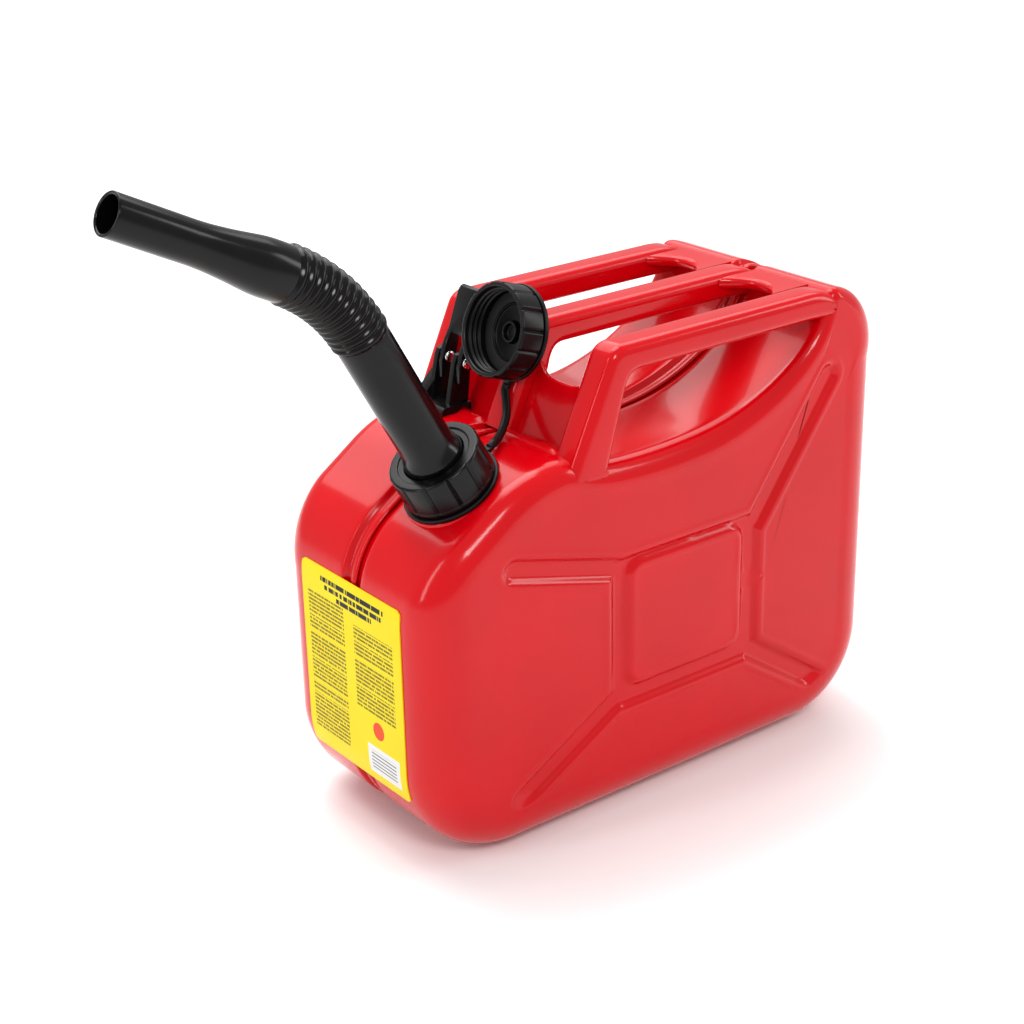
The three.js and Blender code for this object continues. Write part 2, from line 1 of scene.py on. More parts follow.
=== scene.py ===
"""Looks for the ten-litre steel fuel can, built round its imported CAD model.

Every piece is worked out in millimetres in the can's own frame (X along the can, spout end at -X, Z up from
the floor, Y across it) and moved into the row's frame, in metres, when its mesh is made.
"""

import math

import bpy
import bmesh
import numpy as np
from mathutils import Matrix, Vector


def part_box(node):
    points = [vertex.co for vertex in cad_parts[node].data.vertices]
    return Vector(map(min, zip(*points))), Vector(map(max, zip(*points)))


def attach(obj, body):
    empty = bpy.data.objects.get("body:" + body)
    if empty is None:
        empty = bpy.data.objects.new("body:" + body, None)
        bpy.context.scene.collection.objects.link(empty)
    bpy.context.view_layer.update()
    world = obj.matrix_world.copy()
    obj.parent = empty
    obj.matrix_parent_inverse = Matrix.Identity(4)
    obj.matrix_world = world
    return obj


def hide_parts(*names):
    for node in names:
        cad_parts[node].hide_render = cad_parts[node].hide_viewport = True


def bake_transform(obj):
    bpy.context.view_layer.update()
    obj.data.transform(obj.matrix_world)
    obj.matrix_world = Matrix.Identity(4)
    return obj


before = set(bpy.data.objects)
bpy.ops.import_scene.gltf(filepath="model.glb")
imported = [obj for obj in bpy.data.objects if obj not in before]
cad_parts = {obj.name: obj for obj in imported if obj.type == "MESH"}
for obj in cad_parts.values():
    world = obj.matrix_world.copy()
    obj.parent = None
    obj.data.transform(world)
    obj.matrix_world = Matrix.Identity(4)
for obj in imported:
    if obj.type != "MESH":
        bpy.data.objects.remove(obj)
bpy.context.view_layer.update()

MM = 0.001
SHELL_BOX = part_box("shell_near")
CAN_MIDDLE = (SHELL_BOX[0].x + SHELL_BOX[1].x) / 2
TO_ROW = Matrix.Translation((CAN_MIDDLE, 0, 0)) @ Matrix.Scale(MM, 4)

# ---- driving dimensions of the can, mm ----
LENGTH = 345.0
WIDTH = 154.0
EDGE_R = 27.0
DISH_EDGE_R = 13.0
CREST_EDGE_R = 6.5
CORNER_R = 60.0
REAR_TOP_R = 50.0
SEAM_HALF = 8.5
SEAM_DEPTH = 3.5
SEAM_SPLIT = 0.02
WALL = 1.2
EMBOSS_DEPTH = 3.0

BAR_WIDTH = 22.0
BAR_R = 6.0
BAR_TOP = 288.7
BAR_UNDER = 272.0
BRIDGE_TOP = 287.0
BRIDGE_THICK = 6.5
BAR_OFFSET = WIDTH / 2 - BAR_WIDTH / 2 - 0.1
LEG_LEAN = math.radians(24.7)
LEG_FRONT = (-61.8, 247.8)

NECK = Vector((-122.0, -31.0, 215.2))
NECK_TILT = math.radians(29.0)
SPOUT_STRAIGHT = 112.0
BEND_R = 103.0
OUTER_TILT = math.radians(63.2)

CAP = Vector((-69.3, 0.0, 287.0))
CAP_LEAN = math.radians(72.0)
LATCH_PIN = (-65.4, 258.6)
RIDGE_X = -68.5

LABEL_HALF = 49.1
LABEL_LOW = 41.7
LABEL_HIGH = 161.2
LABEL_CORNER = 3.0
LABEL_OUTER = 0.75
LABEL_INNER = 0.02
SHOULDER_Z = 150.0

WEB_SETBACK = 9.0
WEB_THICK = 4.0
WEB_DOWN = -32.0
WEB_DIP = 17.0
WEB_RISE = 7.0
BRIDGE_FRONT = 108.0
BRIDGE_HORN = 14.0
BRIDGE_BACK = 128.0
BEAD_HALF = 2.5
BEAD_DEPTH = 2.05
BEAD_HEIGHT = 1.25
BEAD_RIPPLE = 0.10
BEAD_PITCH = 4.2
WELD_GAP = 0.03


# ---- making meshes ----
def tilted(tilt, origin):
    """Carries a piece made round the Z axis to a place in the can's XZ plane, leaning tilt towards -X."""
    return Matrix.Translation(origin) @ Matrix.Rotation(-tilt, 4, "Y")


ON_NECK = tilted(NECK_TILT, NECK)
ON_CAP = tilted(CAP_LEAN, CAP)


def bend_point(tilt):
    """A point on the bellows' centre line, where it leans by tilt."""
    start = ON_NECK @ Vector((0, 0, SPOUT_STRAIGHT))
    return start + BEND_R * Vector(
        (math.cos(tilt) - math.cos(NECK_TILT), 0, math.sin(tilt) - math.sin(NECK_TILT))
    )


ON_NOZZLE = tilted(OUTER_TILT, bend_point(OUTER_TILT))


def make(name, verts, faces, place=Matrix.Identity(4)):
    mesh = bpy.data.meshes.new(name)
    mesh.from_pydata([tuple(v) for v in verts], [], [tuple(f) for f in faces])
    mesh.transform(TO_ROW @ place)
    obj = bpy.data.objects.new(name, mesh)
    bpy.context.scene.collection.objects.link(obj)
    work = bmesh.new()
    work.from_mesh(mesh)
    bmesh.ops.recalc_face_normals(work, faces=work.faces)
    work.to_mesh(mesh)
    work.free()
    mesh.update()
    return obj


def apply_modifiers(obj):
    graph = bpy.context.evaluated_depsgraph_get()
    mesh = bpy.data.meshes.new_from_object(obj.evaluated_get(graph))
    obj.modifiers.clear()
    old = obj.data
    obj.data = mesh
    bpy.data.meshes.remove(old)
    return obj


def combine(obj, other, operation):
    """Joins or cuts obj with other, which is used up."""
    cut = obj.modifiers.new("cut", "BOOLEAN")
    cut.operation = operation
    cut.solver = "MANIFOLD"
    cut.object = other
    apply_modifiers(obj)
    bpy.data.objects.remove(other)
    return obj


def soften(obj, width):
    """Rounds a hard-edged piece's corners by width, in mm."""
    work = bmesh.new()
    work.from_mesh(obj.data)
    bmesh.ops.remove_doubles(work, verts=work.verts, dist=1e-6)
    bmesh.ops.dissolve_limit(
        work, angle_limit=math.radians(2), verts=work.verts, edges=work.edges
    )
    work.to_mesh(obj.data)
    work.free()
    bevel = obj.modifiers.new("bevel", "BEVEL")
    bevel.width = width * MM
    bevel.segments = 3
    bevel.limit_method = "ANGLE"
    bevel.angle_limit = math.radians(30)
    return apply_modifiers(obj)


def finish_piece(obj, body, slot, material, *nodes, angle=35):
    obj.data.materials.clear()
    obj.data.materials.append(material)
    obj.data.polygons.foreach_set("use_smooth", [True] * len(obj.data.polygons))
    obj.data.set_sharp_from_angle(angle=math.radians(angle))
    if nodes:
        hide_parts(*nodes)
    if body:
        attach(obj, body)
    return obj


# ---- outlines in the XZ plane: rows of x, z, normal x, normal z, edge radius ----
def arc(cx, cz, radius, start, end, edge_start, edge_end):
    steps = max(3, int(abs(end - start) * math.radians(radius) / 1.6))
    t = np.linspace(0, 1, steps + 1)
    a = np.radians(start + (end - start) * t)
    n = np.stack([np.cos(a), np.sin(a)], 1)
    edge = edge_start + (edge_end - edge_start) * t
    return np.column_stack([cx + radius * n[:, 0], cz + radius * n[:, 1], n, edge])


def curve(points, edge_start, edge_end, spacing=2.0, with_start=False):
    p = np.array(points, float)
    length = np.linalg.norm(np.diff(p, axis=0), axis=1).sum()
    steps = max(3, int(length / spacing))
    t = np.linspace(0, 1, steps + 1)[:, None]
    if not with_start:
        t = t[1:]
    at = (
        (1 - t) ** 3 * p[0]
        + 3 * (1 - t) ** 2 * t * p[1]
        + 3 * (1 - t) * t**2 * p[2]
        + t**3 * p[3]
    )
    d = (
        (1 - t) ** 2 * (p[1] - p[0])
        + 2 * (1 - t) * t * (p[2] - p[1])
        + t**2 * (p[3] - p[2])
    )
    d /= np.linalg.norm(d, axis=1)[:, None]
    edge = edge_start + (edge_end - edge_start) * t
    return np.column_stack([at, d[:, 1], -d[:, 0], edge])


def spread(outline, spacing):
    """Adds points along the straight stretches, so that no two lie further apart than spacing."""
    rows = []
    for a, b in zip(outline, np.roll(outline, -1, axis=0)):
        gap = math.hypot(b[0] - a[0], b[1] - a[1])
        if gap < 1e-4:
            continue
        steps = max(1, round(gap / spacing))
        for i in range(steps):
            rows.append(a + (b - a) * (i / steps))
    made = np.array(rows)
    made[:, 2:4] /= np.linalg.norm(made[:, 2:4], axis=1)[:, None]
    return made


def can_outline(spacing=2.0):
    corner = LENGTH / 2 - CORNER_R
    dish_start, dish_low, ridge_top = (122.9, 282.1), (30, 222.5), (-80, 229.9)
    return spread(
        np.vstack(
            [
                arc(corner, CORNER_R, CORNER_R, -90, 0, EDGE_R, EDGE_R),
                arc(
                    LENGTH / 2 - REAR_TOP_R,
                    238.7,
                    REAR_TOP_R,
                    0,
                    80,
                    EDGE_R,
                    CREST_EDGE_R,
                ),
                arc(129.8, 281.1, 7, 90, 172, CREST_EDGE_R, CREST_EDGE_R),
                curve(
                    [dish_start, (118.7, 252.4), (72, 227), dish_low],
                    CREST_EDGE_R,
                    DISH_EDGE_R,
                ),
                curve([dish_low, (0, 219.3), (-42, 219), (-60, 226)], DISH_EDGE_R, DISH_EDGE_R),
                curve([(-60, 226), (-67, 228.7), (-74, 230.2), ridge_top], DISH_EDGE_R, DISH_EDGE_R),
                curve([ridge_top, (-96, 229.1), (-110, 224), (-123, 215.2)], DISH_EDGE_R, 15),
                arc(-corner, SHOULDER_Z, CORNER_R, 124, 180, 16, EDGE_R),
                arc(-corner, CORNER_R, CORNER_R, 180, 270, EDGE_R, EDGE_R),
            ]
        ),
        spacing,
    )


def ring_points(outline, y, inset):
    y = np.broadcast_to(y, len(outline))
    return np.column_stack(
        [outline[:, 0] - outline[:, 2] * inset, y, outline[:, 1] - outline[:, 3] * inset]
    )


def loft(name, rings, poles=None, closed=False, place=Matrix.Identity(4)):
    """One body through rings of equal count.

    Poles close its two ends; closed joins the last ring to the first.
    """
    count = len(rings[0])
    verts = list(np.vstack(rings))
    faces = []
    pairs = list(range(len(rings) - 1)) + ([len(rings) - 1] if closed else [])
    for k in pairs:
        a, b = k * count, ((k + 1) % len(rings)) * count
        for i in range(count):
            j = (i + 1) % count
            faces.append((a + i, a + j, b + j, b + i))
    if poles is not None:
        for first, pole in ((0, poles[0]), ((len(rings) - 1) * count, poles[1])):
            verts.append(pole)
            tip = len(verts) - 1
            faces += [(first + i, first + (i + 1) % count, tip) for i in range(count)]
    return make(name, verts, faces, place)


# ---- the pressed ribs on the side panels ----
def box_distance(x, z, x0, z0, x1, z1, radius):
    dx = np.abs(x - (x0 + x1) / 2) - (x1 - x0) / 2 + radius
    dz = np.abs(z - (z0 + z1) / 2) - (z1 - z0) / 2 + radius
    outside = np.hypot(np.maximum(dx, 0), np.maximum(dz, 0))
    return outside + np.minimum(np.maximum(dx, dz), 0) - radius


def arm_distance(x, z, start, end, half):
    a, b = np.array(start, float), np.array(end, float)
    along = b - a
    t = np.clip(((x - a[0]) * along[0] + (z - a[1]) * along[1]) / (along @ along), 0, 1)
    return np.hypot(x - a[0] - t * along[0], z - a[1] - t * along[1]) - half


def smooth_step(edge0, edge1, value):
    t = np.clip((value - edge0) / (edge1 - edge0), 0, 1)
    return t * t * (3 - 2 * t)


def emboss_depth(x, z):
    """How deep the panel is pressed in at a point, in mm."""
    frame_out = box_distance(x, z, -46.7, 66.3, 70.7, 164.4, 11)
    frame_in = box_distance(x, z, -31.4, 81.2, 54.5, 157.0, 9)
    channel = np.maximum(frame_out, -frame_in)
    for start, end in (
        ((-43, 158), (-115, 178)),
        ((-43, 74), (-113, 34)),
        ((66, 72), (127, 30)),
        ((66, 157), (124, 236)),
    ):
        channel = np.minimum(channel, arm_distance(x, z, start, end, 8))
    deep = EMBOSS_DEPTH * (1 - smooth_step(-4.4, 0.4, channel))
    lip = 0.35 * np.exp(-((channel - 2.2) / 1.6) ** 2)
    return deep + 0.35 - lip


# ---- the tank ----
PANEL_CENTRE = (75.0, 120.0)


def side_rings(outline, inward, fillet_steps, panel_steps, ribs):
    """Rings from the middle of one side panel out round its edge to the start of the band."""
    edge = outline[:, 4]
    rings = []
    rim = ring_points(outline, WIDTH / 2 - inward, edge)
    for i in range(1, panel_steps + 1):
        t = (i / panel_steps) ** 0.85
        row = rim.copy()
        row[:, 0] = PANEL_CENTRE[0] + (rim[:, 0] - PANEL_CENTRE[0]) * t
        row[:, 2] = PANEL_CENTRE[1] + (rim[:, 2] - PANEL_CENTRE[1]) * t
        if ribs:
            fade = smooth_step(1.0, 0.9, t)
            row[:, 1] -= emboss_depth(row[:, 0], row[:, 2]) * fade
        rings.append(row)
    radius = edge - inward
    for i in range(fillet_steps - 1, -1, -1):
        a = math.radians(90 * i / fillet_steps)
        y = WIDTH / 2 - edge + radius * math.sin(a)
        rings.append(ring_points(outline, y, inward + radius * (1 - math.cos(a))))
    return rings


def band_rings(outline, inward, channel, ridge):
    """Rings across the band from the fillet to the middle of the seam channel."""
    start = WIDTH / 2 - outline[:, 4]
    rings = []
    steps = 16
    for i in range(1, steps):
        y = start + (SEAM_HALF + 1.5 + inward - start) * (i / steps)
        lift = 0.0
        if ridge:
            across = smooth_step(60, 52, y) * smooth_step(9.5, 14, y)
            near_top = outline[:, 1] > 200
            lift = 2.6 * np.exp(-(((outline[:, 0] - RIDGE_X) / 4.2) ** 2)) * across * near_top
        rings.append(ring_points(outline, y, inward - lift))
    profile = [(1.5, 0), (0.6, 0.2), (0, 0.8), (-0.9, 2.6), (-1.7, 3.3), (-3, SEAM_DEPTH)]
    for dy, depth in profile:
        rings.append(ring_points(outline, SEAM_HALF + dy + inward * 0.6, inward + depth * channel))
    return rings


def mirrored(rings, side):
    return [row * np.array([1, side, 1]) for row in rings]


def centre_pole(side, inward, ribs):
    depth = emboss_depth(np.array([PANEL_CENTRE[0]]), np.array([PANEL_CENTRE[1]]))[0] if ribs else 0
    return (PANEL_CENTRE[0], side * (WIDTH / 2 - inward - depth), PANEL_CENTRE[1])


def can_half(name, side):
    fine = can_outline(2.0)
    outer = side_rings(fine, 0, 14, 105, True) + band_rings(fine, 0, 1, True)
    outer.append(ring_points(fine, SEAM_SPLIT, SEAM_DEPTH))
    inner = [ring_points(fine, SEAM_SPLIT, SEAM_DEPTH + WALL)]
    inside = side_rings(fine, WALL, 5, 4, False) + band_rings(fine, WALL, 1, False)
    for row in inside[:4]:
        row[:, 1] -= 4.0
    inner += inside[::-1]
    poles = (centre_pole(side, 0, True), centre_pole(side, WALL + 4, False))
    return loft(name, mirrored(outer + inner, side), poles)


def keep_out(grow):
    """The whole can as one blank, for trimming what is welded to it."""
    coarse = can_outline(2.5)
    half = side_rings(coarse, -grow, 8, 3, False) + band_rings(coarse, -grow, 0, True)
    rings = mirrored(half, 1) + mirrored(half[::-1], -1)
    return loft("keep_out", rings, (centre_pole(1, -grow, False), centre_pole(-1, -grow, False)))


def turned(name, profile, segments=96, place=Matrix.Identity(4), wave=None, closed=True):
    """A turned piece from (radius, height, grip) rows; wave(angle) scales how far the grip is cut back."""
    angles = np.linspace(0, 2 * math.pi, segments, endpoint=False)
    cut = np.array([wave(a) for a in angles]) if wave else np.zeros(segments)
    rings = []
    for row in profile:
        radius, height = row[:2]
        r = radius - cut * (row[2] if len(row) > 2 else 0)
        rings.append(np.column_stack([r * np.cos(angles), r * np.sin(angles), np.full(segments, height)]))
    poles = None
    if not closed:
        poles = ((0, 0, profile[0][1]), (0, 0, profile[-1][1]))
    return loft(name, rings, poles, closed, place)


def rounded(points, radius, steps=4, closed=True):
    """A profile with its corners rounded off."""
    made = []
    count = len(points)
    for i, corner in enumerate(points):
        p = Vector(corner[:2])
        extra = tuple(corner[2:3])
        keep = corner[3] if len(corner) > 3 else radius
        if (not closed and i in (0, count - 1)) or keep == 0:
            made.append((p.x, p.y, *extra))
            continue
        a = Vector(points[i - 1][:2]) - p
        b = Vector(points[(i + 1) % count][:2]) - p
        reach = min(keep, a.length * 0.45, b.length * 0.45)
        start, end = p + a.normalized() * reach, p + b.normalized() * reach
        for k in range(steps + 1):
            t = k / steps
            q = start * (1 - t) ** 2 + p * 2 * t * (1 - t) + end * t**2
            made.append((q.x, q.y, *extra))
    return made


def swept(name, centres, radii, around=24, inner=None):
    """A tube along points; inner gives the bore's radius."""
    points = [Vector(c) for c in centres]
    side = Vector((0, 1, 0))

    def rings_of(sizes):
        rings = []
        for i, p in enumerate(points):
            ahead = points[min(i + 1, len(points) - 1)] - points[max(i - 1, 0)]
            ahead.normalize()
            u = (side - ahead * side.dot(ahead)).normalized()
            v = ahead.cross(u)
            ring = []
            for k in range(around):
                a = 2 * math.pi * k / around
                ring.append(p + sizes[i] * (math.cos(a) * u + math.sin(a) * v))
            rings.append(np.array(ring))
        return rings

    rings = rings_of(radii)
    if inner is not None:
        return loft(name, rings + rings_of(inner)[::-1], closed=True)
    return loft(name, rings, (points[0], points[-1]))


def catmull(points, per_span=10):
    p = [np.array(q, float) for q in points]
    p = [2 * p[0] - p[1], *p, 2 * p[-1] - p[-2]]
    made = []
    for i in range(1, len(p) - 2):
        for k in range(per_span):
            t = k / per_span
            made.append(
                0.5
                * (
                    2 * p[i]
                    + (p[i + 1] - p[i - 1]) * t
                    + (2 * p[i - 1] - 5 * p[i] + 4 * p[i + 1] - p[i + 2]) * t**2
                    + (3 * p[i] - p[i - 1] - 3 * p[i + 1] + p[i + 2]) * t**3
                )
            )
    made.append(p[-2])
    return made


# ---- materials ----
class Nodes:
    """A short way to write a node material round one Principled shader."""

    def __init__(self, name):
        self.material = bpy.data.materials.new(name)
        self.material.use_nodes = True
        self.tree = self.material.node_tree
        self.shader = self.tree.nodes["Principled BSDF"]
        self.place = self.tree.nodes.new("ShaderNodeTexCoord").outputs["Object"]

    def set(self, **values):
        for name, value in values.items():
            self.shader.inputs[name.replace("_", " ")].default_value = value

    def node(self, kind, inputs=(), **settings):
        made = self.tree.nodes.new(kind)
        for key, value in settings.items():
            setattr(made, key, value)
        for key, value in dict(inputs).items():
            if isinstance(value, bpy.types.NodeSocket):
                self.tree.links.new(value, made.inputs[key])
            else:
                made.inputs[key].default_value = value
        return made

    def noise(self, scale, detail=3.0, roughness=0.5, stretch=None):
        where = self.place
        if stretch:
            where = self.node("ShaderNodeMapping", {"Vector": where, "Scale": stretch}).outputs[0]
        inputs = {"Vector": where, "Scale": scale, "Detail": detail, "Roughness": roughness}
        return self.node("ShaderNodeTexNoise", inputs).outputs["Fac"]

    def ramp(self, value, low, high, out_low, out_high):
        inputs = {0: value, 1: low, 2: high, 3: out_low, 4: out_high}
        return self.node("ShaderNodeMapRange", inputs).outputs[0]

    def math(self, operation, a, b=0.0):
        return self.node("ShaderNodeMath", {0: a, 1: b}, operation=operation).outputs[0]

    def mix(self, factor, a, b):
        made = self.node("ShaderNodeMix", data_type="RGBA")
        for key, value in ((0, factor), (6, a), (7, b)):
            if isinstance(value, bpy.types.NodeSocket):
                self.tree.links.new(value, made.inputs[key])
            else:
                made.inputs[key].default_value = value
        return made.outputs[2]

    def colour(self, socket):
        self.tree.links.new(socket, self.shader.inputs["Base Color"])

    def rough(self, socket):
        self.tree.links.new(socket, self.shader.inputs["Roughness"])

    def bump(self, height, strength, distance):
        made = self.node("ShaderNodeBump", {"Height": height, "Strength": strength, "Distance": distance})
        self.tree.links.new(made.outputs[0], self.shader.inputs["Normal"])


def enamel(name, dark, light):
    """Baked gloss enamel: faint orange peel, cloudy gloss and a few dull rubs."""
    m = Nodes(name)
    m.set(Metallic=0.0, Coat_Weight=0.15, Coat_Roughness=0.04, Specular_IOR_Level=0.22)
    m.colour(m.mix(m.ramp(m.noise(14, 4), 0.35, 0.65, 0, 1), dark, light))
    rubs = m.ramp(m.noise(60, 6, 0.7, (1, 1, 0.35)), 0.64, 0.76, 0, 0.06)
    m.rough(m.math("ADD", m.ramp(m.noise(9, 3), 0.3, 0.7, 0.13, 0.2), rubs))
    peel = m.noise(420, 2)
    m.bump(peel, 0.06, 0.0003)
    return m.material


def moulded(name, shade, rough_low, rough_high, grain=0.08):
    """Black moulded plastic: fine grain, faint flow marks and uneven sheen."""
    m = Nodes(name)
    m.set(Metallic=0.0, Specular_IOR_Level=0.22)
    low = (*[c * 0.75 for c in shade], 1)
    high = (*[c * 1.35 for c in shade], 1)
    m.colour(m.mix(m.ramp(m.noise(35, 4), 0.35, 0.65, 0, 1), low, high))
    m.rough(m.ramp(m.noise(28, 5, 0.6), 0.3, 0.7, rough_low, rough_high))
    m.bump(m.noise(1900, 2), grain, 0.0002)
    return m.material


def steel(name, shade, rough):
    m = Nodes(name)
    m.set(Metallic=1.0)
    m.colour(m.mix(m.noise(90, 3), (*[c * 0.85 for c in shade], 1), (*shade, 1)))
    m.rough(m.ramp(m.noise(220, 4, 0.6, (1, 6, 1)), 0.3, 0.7, rough * 0.8, rough * 1.3))
    m.bump(m.noise(700, 2, 0.5, (1, 8, 1)), 0.08, 0.0002)
    return m.material




def label_print(name):
    """Yellow label with made-up dark rules in two columns, a ruled heading, a plain dot and a pale panel."""
    m = Nodes(name)
    m.set(Metallic=0.0, Specular_IOR_Level=0.12)
    split = m.node("ShaderNodeSeparateXYZ", {0: m.place})
    u = m.ramp(split.outputs["Y"], LABEL_HALF * MM, -LABEL_HALF * MM, 0, 1)
    v = m.ramp(split.outputs["Z"], LABEL_LOW * MM, LABEL_HIGH * MM, 0, 1)

    def between(value, low, high):
        above = m.math("GREATER_THAN", value, low)
        return m.math("MULTIPLY", above, m.math("LESS_THAN", value, high))

    def area(u0, u1, v0, v1):
        return m.math("MULTIPLY", between(u, u0, u1), between(v, v0, v1))

    def words(rows, stretch, share, weight):
        """Rows of short dashes; weight is the share of a row's height that is inked."""
        line = m.math("FRACT", m.math("MULTIPLY", v, rows))
        inked = between(line, 0.5 - weight / 2, 0.5 + weight / 2)
        row = m.math("FLOOR", m.math("MULTIPLY", v, rows))
        where = m.node("ShaderNodeCombineXYZ", {0: m.math("MULTIPLY", u, stretch), 1: row, 2: 0.0}).outputs[0]
        spots = m.node("ShaderNodeTexNoise", {"Vector": where, "Scale": 1.0, "Detail": 1.0}).outputs["Fac"]
        return m.math("MULTIPLY", inked, m.math("GREATER_THAN", spots, share))

    def total(*parts):
        made = parts[0]
        for part in parts[1:]:
            made = m.math("MAXIMUM", made, part)
        return made

    small = words(48, 62, 0.42, 0.56)
    columns = total(
        area(0.06, 0.43, 0.10, 0.855),
        area(0.53, 0.92, 0.375, 0.80),
    )
    gaps = total(*[area(0.0, 1.0, v0, v0 + 0.014) for v0 in (0.30, 0.36, 0.49, 0.63, 0.72)])
    text = m.math("MULTIPLY", m.math("MULTIPLY", small, columns), m.math("SUBTRACT", 1.0, gaps))
    heading = m.math(
        "MULTIPLY",
        words(27, 52, 0.43, 0.66),
        total(area(0.2, 0.84, 0.926, 0.965), area(0.24, 0.82, 0.888, 0.925), area(0.36, 0.72, 0.85, 0.887)),
    )
    du = m.math("MULTIPLY", m.math("SUBTRACT", u, 0.74), 2 * LABEL_HALF)
    dv = m.math("MULTIPLY", m.math("SUBTRACT", v, 0.30), LABEL_HIGH - LABEL_LOW)
    reach = m.math("ADD", m.math("MULTIPLY", du, du), m.math("MULTIPLY", dv, dv))
    dot = m.math("LESS_THAN", reach, 5.5**2)
    panel = area(0.62, 0.94, 0.05, 0.205)
    rules = between(m.math("FRACT", m.math("MULTIPLY", v, 52)), 0.3, 0.62)
    hatch = m.math("MULTIPLY", area(0.655, 0.905, 0.075, 0.18), rules)

    yellow = m.mix(m.ramp(m.noise(25, 3), 0.3, 0.7, 0, 1), (0.74, 0.58, 0.0, 1), (0.79, 0.63, 0.001, 1))
    inked = m.mix(m.math("MULTIPLY", text, 0.8), yellow, (0.03, 0.028, 0.004, 1))
    inked = m.mix(heading, inked, (0.015, 0.013, 0.01, 1))
    inked = m.mix(panel, inked, (0.7, 0.7, 0.7, 1))
    inked = m.mix(hatch, inked, (0.12, 0.12, 0.13, 1))
    inked = m.mix(dot, inked, (0.70, 0.06, 0.01, 1))
    m.colour(inked)
    m.rough(m.ramp(m.noise(60, 3), 0.3, 0.7, 0.34, 0.44))
    m.bump(m.noise(500, 2), 0.05, 0.0002)
    return m.material


RED = enamel("red_enamel", (0.52, 0.0, 0.003, 1), (0.57, 0.0, 0.004, 1))
HANDLE_RED = enamel("handle_enamel", (0.52, 0.0, 0.003, 1), (0.57, 0.0, 0.004, 1))
# The filler neck gets a darker copy of the body enamel: painted shade for where it sits under the collar nut
# and tether ring.
NECK_SHADED_RED = enamel("neck_enamel_shaded", (0.45, 0.0, 0.003, 1), (0.52, 0.0, 0.004, 1))
LABEL = label_print("label_print")
SPOUT_BLACK = moulded("spout_plastic", (0.0018, 0.0018, 0.0022), 0.14, 0.22, 0.03)
COLLAR_BLACK = moulded("collar_plastic", (0.0022, 0.0022, 0.0026), 0.2, 0.3, 0.05)
CAP_BLACK = moulded("cap_plastic", (0.0028, 0.0028, 0.0032), 0.26, 0.38, 0.07)
TETHER_BLACK = moulded("tether_plastic", (0.0022, 0.0022, 0.0024), 0.34, 0.46, 0.09)
LATCH_BLACK = moulded("latch_lacquer", (0.0028, 0.0028, 0.0032), 0.18, 0.3, 0.06)
SEAL = moulded("seal_rubber", (0.015, 0.015, 0.015), 0.6, 0.75, 0.15)
PIN_STEEL = steel("pin_steel", (0.82, 0.83, 0.84), 0.2)
SCREEN_STEEL = steel("screen_steel", (0.62, 0.62, 0.60), 0.35)
TUBE_STEEL = steel("tube_steel", (0.60, 0.60, 0.58), 0.3)


# ---- the can's shell, seam and neck opening ----
near = can_half("shell_near_skin", -1)
boss = turned(
    "boss",
    rounded([(29.5, -6), (28.9, -1.2), (28.2, -0.05), (26, -0.05)], 1.2, closed=False),
    96,
    ON_NECK,
    closed=False,
)
combine(near, boss, "UNION")
combine(near, turned("flat", [(30.6, -0.05), (30.6, 12)], 96, ON_NECK, closed=False), "DIFFERENCE")
combine(near, turned("hole", [(21.55, -30), (21.55, 14)], 96, ON_NECK, closed=False), "DIFFERENCE")
finish_piece(near, "can", "can_paint", RED, "shell_near")
finish_piece(can_half("shell_far_skin", 1), "can", "can_paint", RED, "shell_far")

fine = can_outline(1.5)
travel = np.cumsum(np.hypot(*np.diff(fine[:, :2], axis=0, prepend=fine[-1:, :2]).T))
bead_rings = []
for k in range(20):
    a = 2 * math.pi * k / 20
    ripple = BEAD_RIPPLE * np.sin(travel * 2 * math.pi / BEAD_PITCH + 0.6 * math.cos(a))
    bead_rings.append(
        ring_points(fine, BEAD_HALF * math.cos(a), BEAD_DEPTH - (BEAD_HEIGHT + ripple) * math.sin(a))
    )
bead = loft("seam_bead", bead_rings, closed=True)
finish_piece(bead, "can", "can_paint", RED, "seam_weld", angle=60)


# ---- carrying bars and webs ----
def bar_outline():
    foot = 28 * math.tan(LEG_LEAN)
    lean = (-math.cos(LEG_LEAN), math.sin(LEG_LEAN))
    rows = [
        curve([(-63, 213), (-58, 213), (-52, 213), (-48, 213.2)], 0, 0, with_start=True),
        curve([(-46.5, 219), (-42, 235), (-36, 255), (-33.5, 264)], 0, 0, with_start=True),
        curve([(-33.5, 264), (-31.5, 270), (-29, BAR_UNDER), (-23, BAR_UNDER)], 0, 0),
        curve([(104, BAR_UNDER), (112, BAR_UNDER), (122, 271), (136, 270)], 0, 0, with_start=True),
        curve([(130, 283), (124, 287.5), (118, BAR_TOP), (108, BAR_TOP)], 0, 0, with_start=True),
        arc(-35.3, BAR_TOP - 12, 12, 90, 155.3, 0, 0),
        np.array([[LEG_FRONT[0] - foot, LEG_FRONT[1] - 28, *lean, 0]]),
    ]
    return spread(np.vstack(rows), 2.5)


def bar(name, centre):
    outline = bar_outline()
    steps = 9
    half = []
    for i in range(steps, -1, -1):
        a = math.radians(90 * i / steps)
        half.append((BAR_WIDTH / 2 - BAR_R + BAR_R * math.sin(a), BAR_R * (1 - math.cos(a))))
    rings = [ring_points(outline, centre - y, inset) for y, inset in half]
    rings += [ring_points(outline, centre + y, inset) for y, inset in reversed(half)]
    made = loft(name, rings)
    work = bmesh.new()
    work.from_mesh(made.data)
    open_edges = [e for e in work.edges if e.is_boundary]
    bmesh.ops.holes_fill(work, edges=open_edges, sides=0)
    bmesh.ops.triangulate(work, faces=[f for f in work.faces if len(f.verts) > 4])
    bmesh.ops.recalc_face_normals(work, faces=work.faces)
    work.to_mesh(made.data)
    work.free()
    return combine(made, keep_out(WELD_GAP), "DIFFERENCE")


